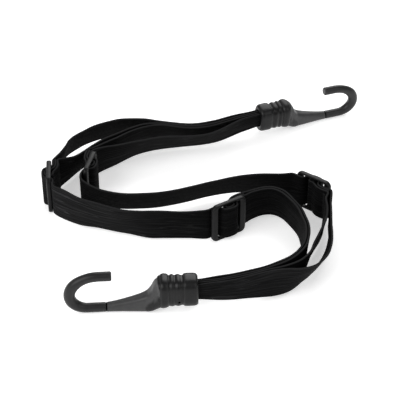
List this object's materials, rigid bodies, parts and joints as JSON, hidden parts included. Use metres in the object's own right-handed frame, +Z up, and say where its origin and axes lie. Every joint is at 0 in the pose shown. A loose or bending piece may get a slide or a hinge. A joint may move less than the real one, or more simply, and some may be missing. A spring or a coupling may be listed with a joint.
{
  "type": "bungee cord",
  "caption": "Adjustable bungee strap of flat elastic webbing bands with sliding adjusters and a moulded J hook with a ribbed collar at each end, lying in a loose S curve.",
  "frame": {"origin": "on the surface the strap lies on, under the middle of the whole strap as it lies in the picture", "axes": "+Z up, +X to the right and +Y away from the viewer of the picture; the webbing stands on edge"},
  "size_m": [0.2412, 0.2517, 0.0319],
  "materials": {
    "webbing": "black woven elastic webbing with lengthwise ribs",
    "moulded": "charcoal moulded plastic, satin",
    "steel": "plain steel pins, hidden in the collars"
  },
  "bodies": {
    "webbing": {"outer_strap": "webbing", "inner_strap": "webbing"},
    "rear_hook": {"rear_hook_rod": "moulded", "rear_hook_body": "moulded", "rear_collar": "moulded", "rear_outer_pin": "steel", "rear_inner_pin": "steel"},
    "front_hook": {"front_hook_rod": "moulded", "front_hook_body": "moulded", "front_collar": "moulded", "front_outer_pin": "steel", "front_inner_pin": "steel"},
    "outer_rear_slider": {"outer_rear_slider": "moulded"},
    "inner_rear_slider": {"inner_rear_slider": "moulded"},
    "outer_front_slider": {"outer_front_slider": "moulded"},
    "inner_front_slider": {"inner_front_slider": "moulded"}
  },
  "joints": [
    {"name": "rear_stretch", "type": "slide", "parent": "webbing", "child": "rear_hook", "axis": [0.9336, 0.3584, 0], "range_m": [0, 0.12], "stiffness_N_per_m": 400, "deforming": ["outer_strap", "inner_strap"]},
    {"name": "front_stretch", "type": "slide", "parent": "webbing", "child": "front_hook", "axis": [-0.9976, -0.0698, 0], "range_m": [0, 0.12], "stiffness_N_per_m": 400, "deforming": ["outer_strap", "inner_strap"]},
    {"name": "outer_front_slide", "type": "slide", "parent": "webbing", "child": "outer_front_slider", "axis": [-0.9397, -0.342, 0], "range_m": [0, 0.022], "deforming": ["outer_strap"]},
    {"name": "inner_front_slide", "type": "slide", "parent": "webbing", "child": "inner_front_slider", "axis": [-0.9205, 0.3907, 0], "range_m": [0, 0.022], "deforming": ["inner_strap"]},
    {"name": "outer_rear_slide", "type": "slide", "parent": "webbing", "child": "outer_rear_slider", "axis": [0.0523, 0.9986, 0], "range_m": [0, 0.02], "deforming": ["outer_strap"]},
    {"name": "inner_rear_slide", "type": "slide", "parent": "webbing", "child": "inner_rear_slider", "axis": [0.1908, 0.9816, 0], "range_m": [-0.008, 0.01], "deforming": ["inner_strap"]}
  ]
}
